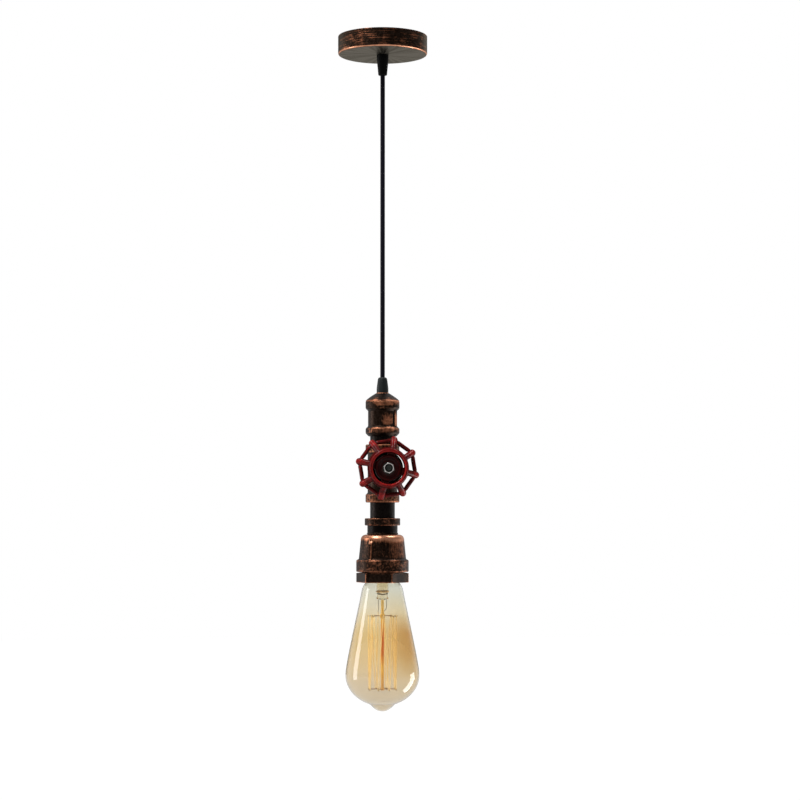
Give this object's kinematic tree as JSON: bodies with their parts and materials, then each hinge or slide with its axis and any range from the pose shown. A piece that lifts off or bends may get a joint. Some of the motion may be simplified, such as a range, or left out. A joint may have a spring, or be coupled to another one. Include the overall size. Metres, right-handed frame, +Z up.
{
  "type": "pendant light",
  "caption": "Cord pendant light of antique copper pipe fittings with a red valve handwheel, a round ceiling rose and a teardrop filament bulb in a screw lampholder.",
  "frame": {"origin": "middle of the ceiling plane, at the centre of the bracket's two screw slots", "axes": "+Z up to the ceiling, -Y towards the handwheel's front, +X to the right seen from the front"},
  "size_m": [0.0776, 0.0923, 0.5837],
  "materials": {
    "rose_copper": "antique copper, brushed",
    "fitting_copper": "antique copper, rubbed on the raised parts",
    "pipe_black": "dark bronze, satin",
    "wheel_red": "red enamel over cast metal",
    "stem_steel": "dark steel",
    "zinc": "zinc plated",
    "brass": "plain brass",
    "grip_plastic": "moulded, matt",
    "white_plastic": "moulded, matt",
    "cord_sheath": "smooth flexible sheath",
    "core_sheath": "smooth",
    "porcelain": "glazed",
    "black_glass": "vitreous",
    "amber_glass": "clear, amber tinted",
    "rod_glass": "amber glass",
    "stem_glass": "clear",
    "fine_wire": "drawn wire"
  },
  "bodies": {
    "rose_body": {"ceiling_rose": "rose_copper", "mounting_bracket": "zinc", "rose_nipple": "brass", "rose_nipple_nuts": "brass", "terminal_block": "white_plastic", "terminal_screws": "brass", "rose_cores": "core_sheath", "upper_cord_grip": "grip_plastic", "upper_grip_screw": "white_plastic", "cord_entry": "cord_sheath"},
    "cord_bend": {"cord_top": "cord_sheath"},
    "cord_hang": {"cord": "cord_sheath"},
    "lamp_body": {"lower_cord_grip": "grip_plastic", "lower_grip_screw": "white_plastic", "grip_washer": "fitting_copper", "lamp_nipple": "brass", "lamp_nipple_nut": "brass", "dome_plug": "fitting_copper", "coupling": "fitting_copper", "upper_pipe_nipple": "pipe_black", "tee": "fitting_copper", "branch_bush": "fitting_copper", "gland_nut": "fitting_copper", "lower_pipe_nipple": "pipe_black", "bell_reducer": "fitting_copper", "hex_bush": "fitting_copper", "holder_body": "porcelain", "holder_shell": "brass", "centre_contact": "brass", "holder_terminals": "brass", "holder_screws": "zinc", "lamp_lead": "cord_sheath", "lead_cores": "core_sheath"},
    "wheel_body": {"valve_stem": "stem_steel", "handwheel": "wheel_red", "wheel_washer": "zinc", "wheel_nut": "zinc"},
    "bulb_slide": {"bulb_contact": "zinc"},
    "bulb_body": {"bulb_insulator": "black_glass", "bulb_cap": "brass", "bulb_glass": "amber_glass", "bulb_stem": "stem_glass", "lead_in_wires": "fine_wire", "support_rod": "rod_glass", "upper_hooks": "fine_wire", "lower_hooks": "fine_wire", "filament": "fine_wire"}
  },
  "joints": [
    {"name": "swing_side", "type": "hinge", "parent": "rose_body", "child": "cord_bend", "pos_m": [0, 0, -0.034], "axis": [0, 1, 0], "range_deg": [-40, 40], "deforming": ["cord_top"]},
    {"name": "swing_front", "type": "hinge", "parent": "cord_bend", "child": "cord_hang", "pos_m": [0, 0, -0.074], "axis": [1, 0, 0], "range_deg": [-40, 40], "deforming": ["cord"]},
    {"name": "lamp_twist", "type": "hinge", "parent": "cord_hang", "child": "lamp_body", "pos_m": [0, 0, -0.297], "axis": [0, 0, 1], "range_deg": [-180, 180], "stiffness_Nm_per_rad": 0.002},
    {"name": "wheel_turn", "type": "hinge", "parent": "lamp_body", "child": "wheel_body", "pos_m": [0, -0.03, -0.3762], "axis": [0, -1, 0], "continuous": true},
    {"name": "bulb_drop", "type": "slide", "parent": "lamp_body", "child": "bulb_slide", "axis": [0, 0, -1], "range_m": [0, 0.0146]},
    {"name": "bulb_turn", "type": "hinge", "parent": "bulb_slide", "child": "bulb_body", "pos_m": [0, 0, -0.46], "axis": [0, 0, -1], "range_deg": [0, 1440]}
  ],
  "couplings": [
    {"joint": "bulb_drop", "follows": "bulb_turn", "m_per_rad": 0.0005775}
  ]
}
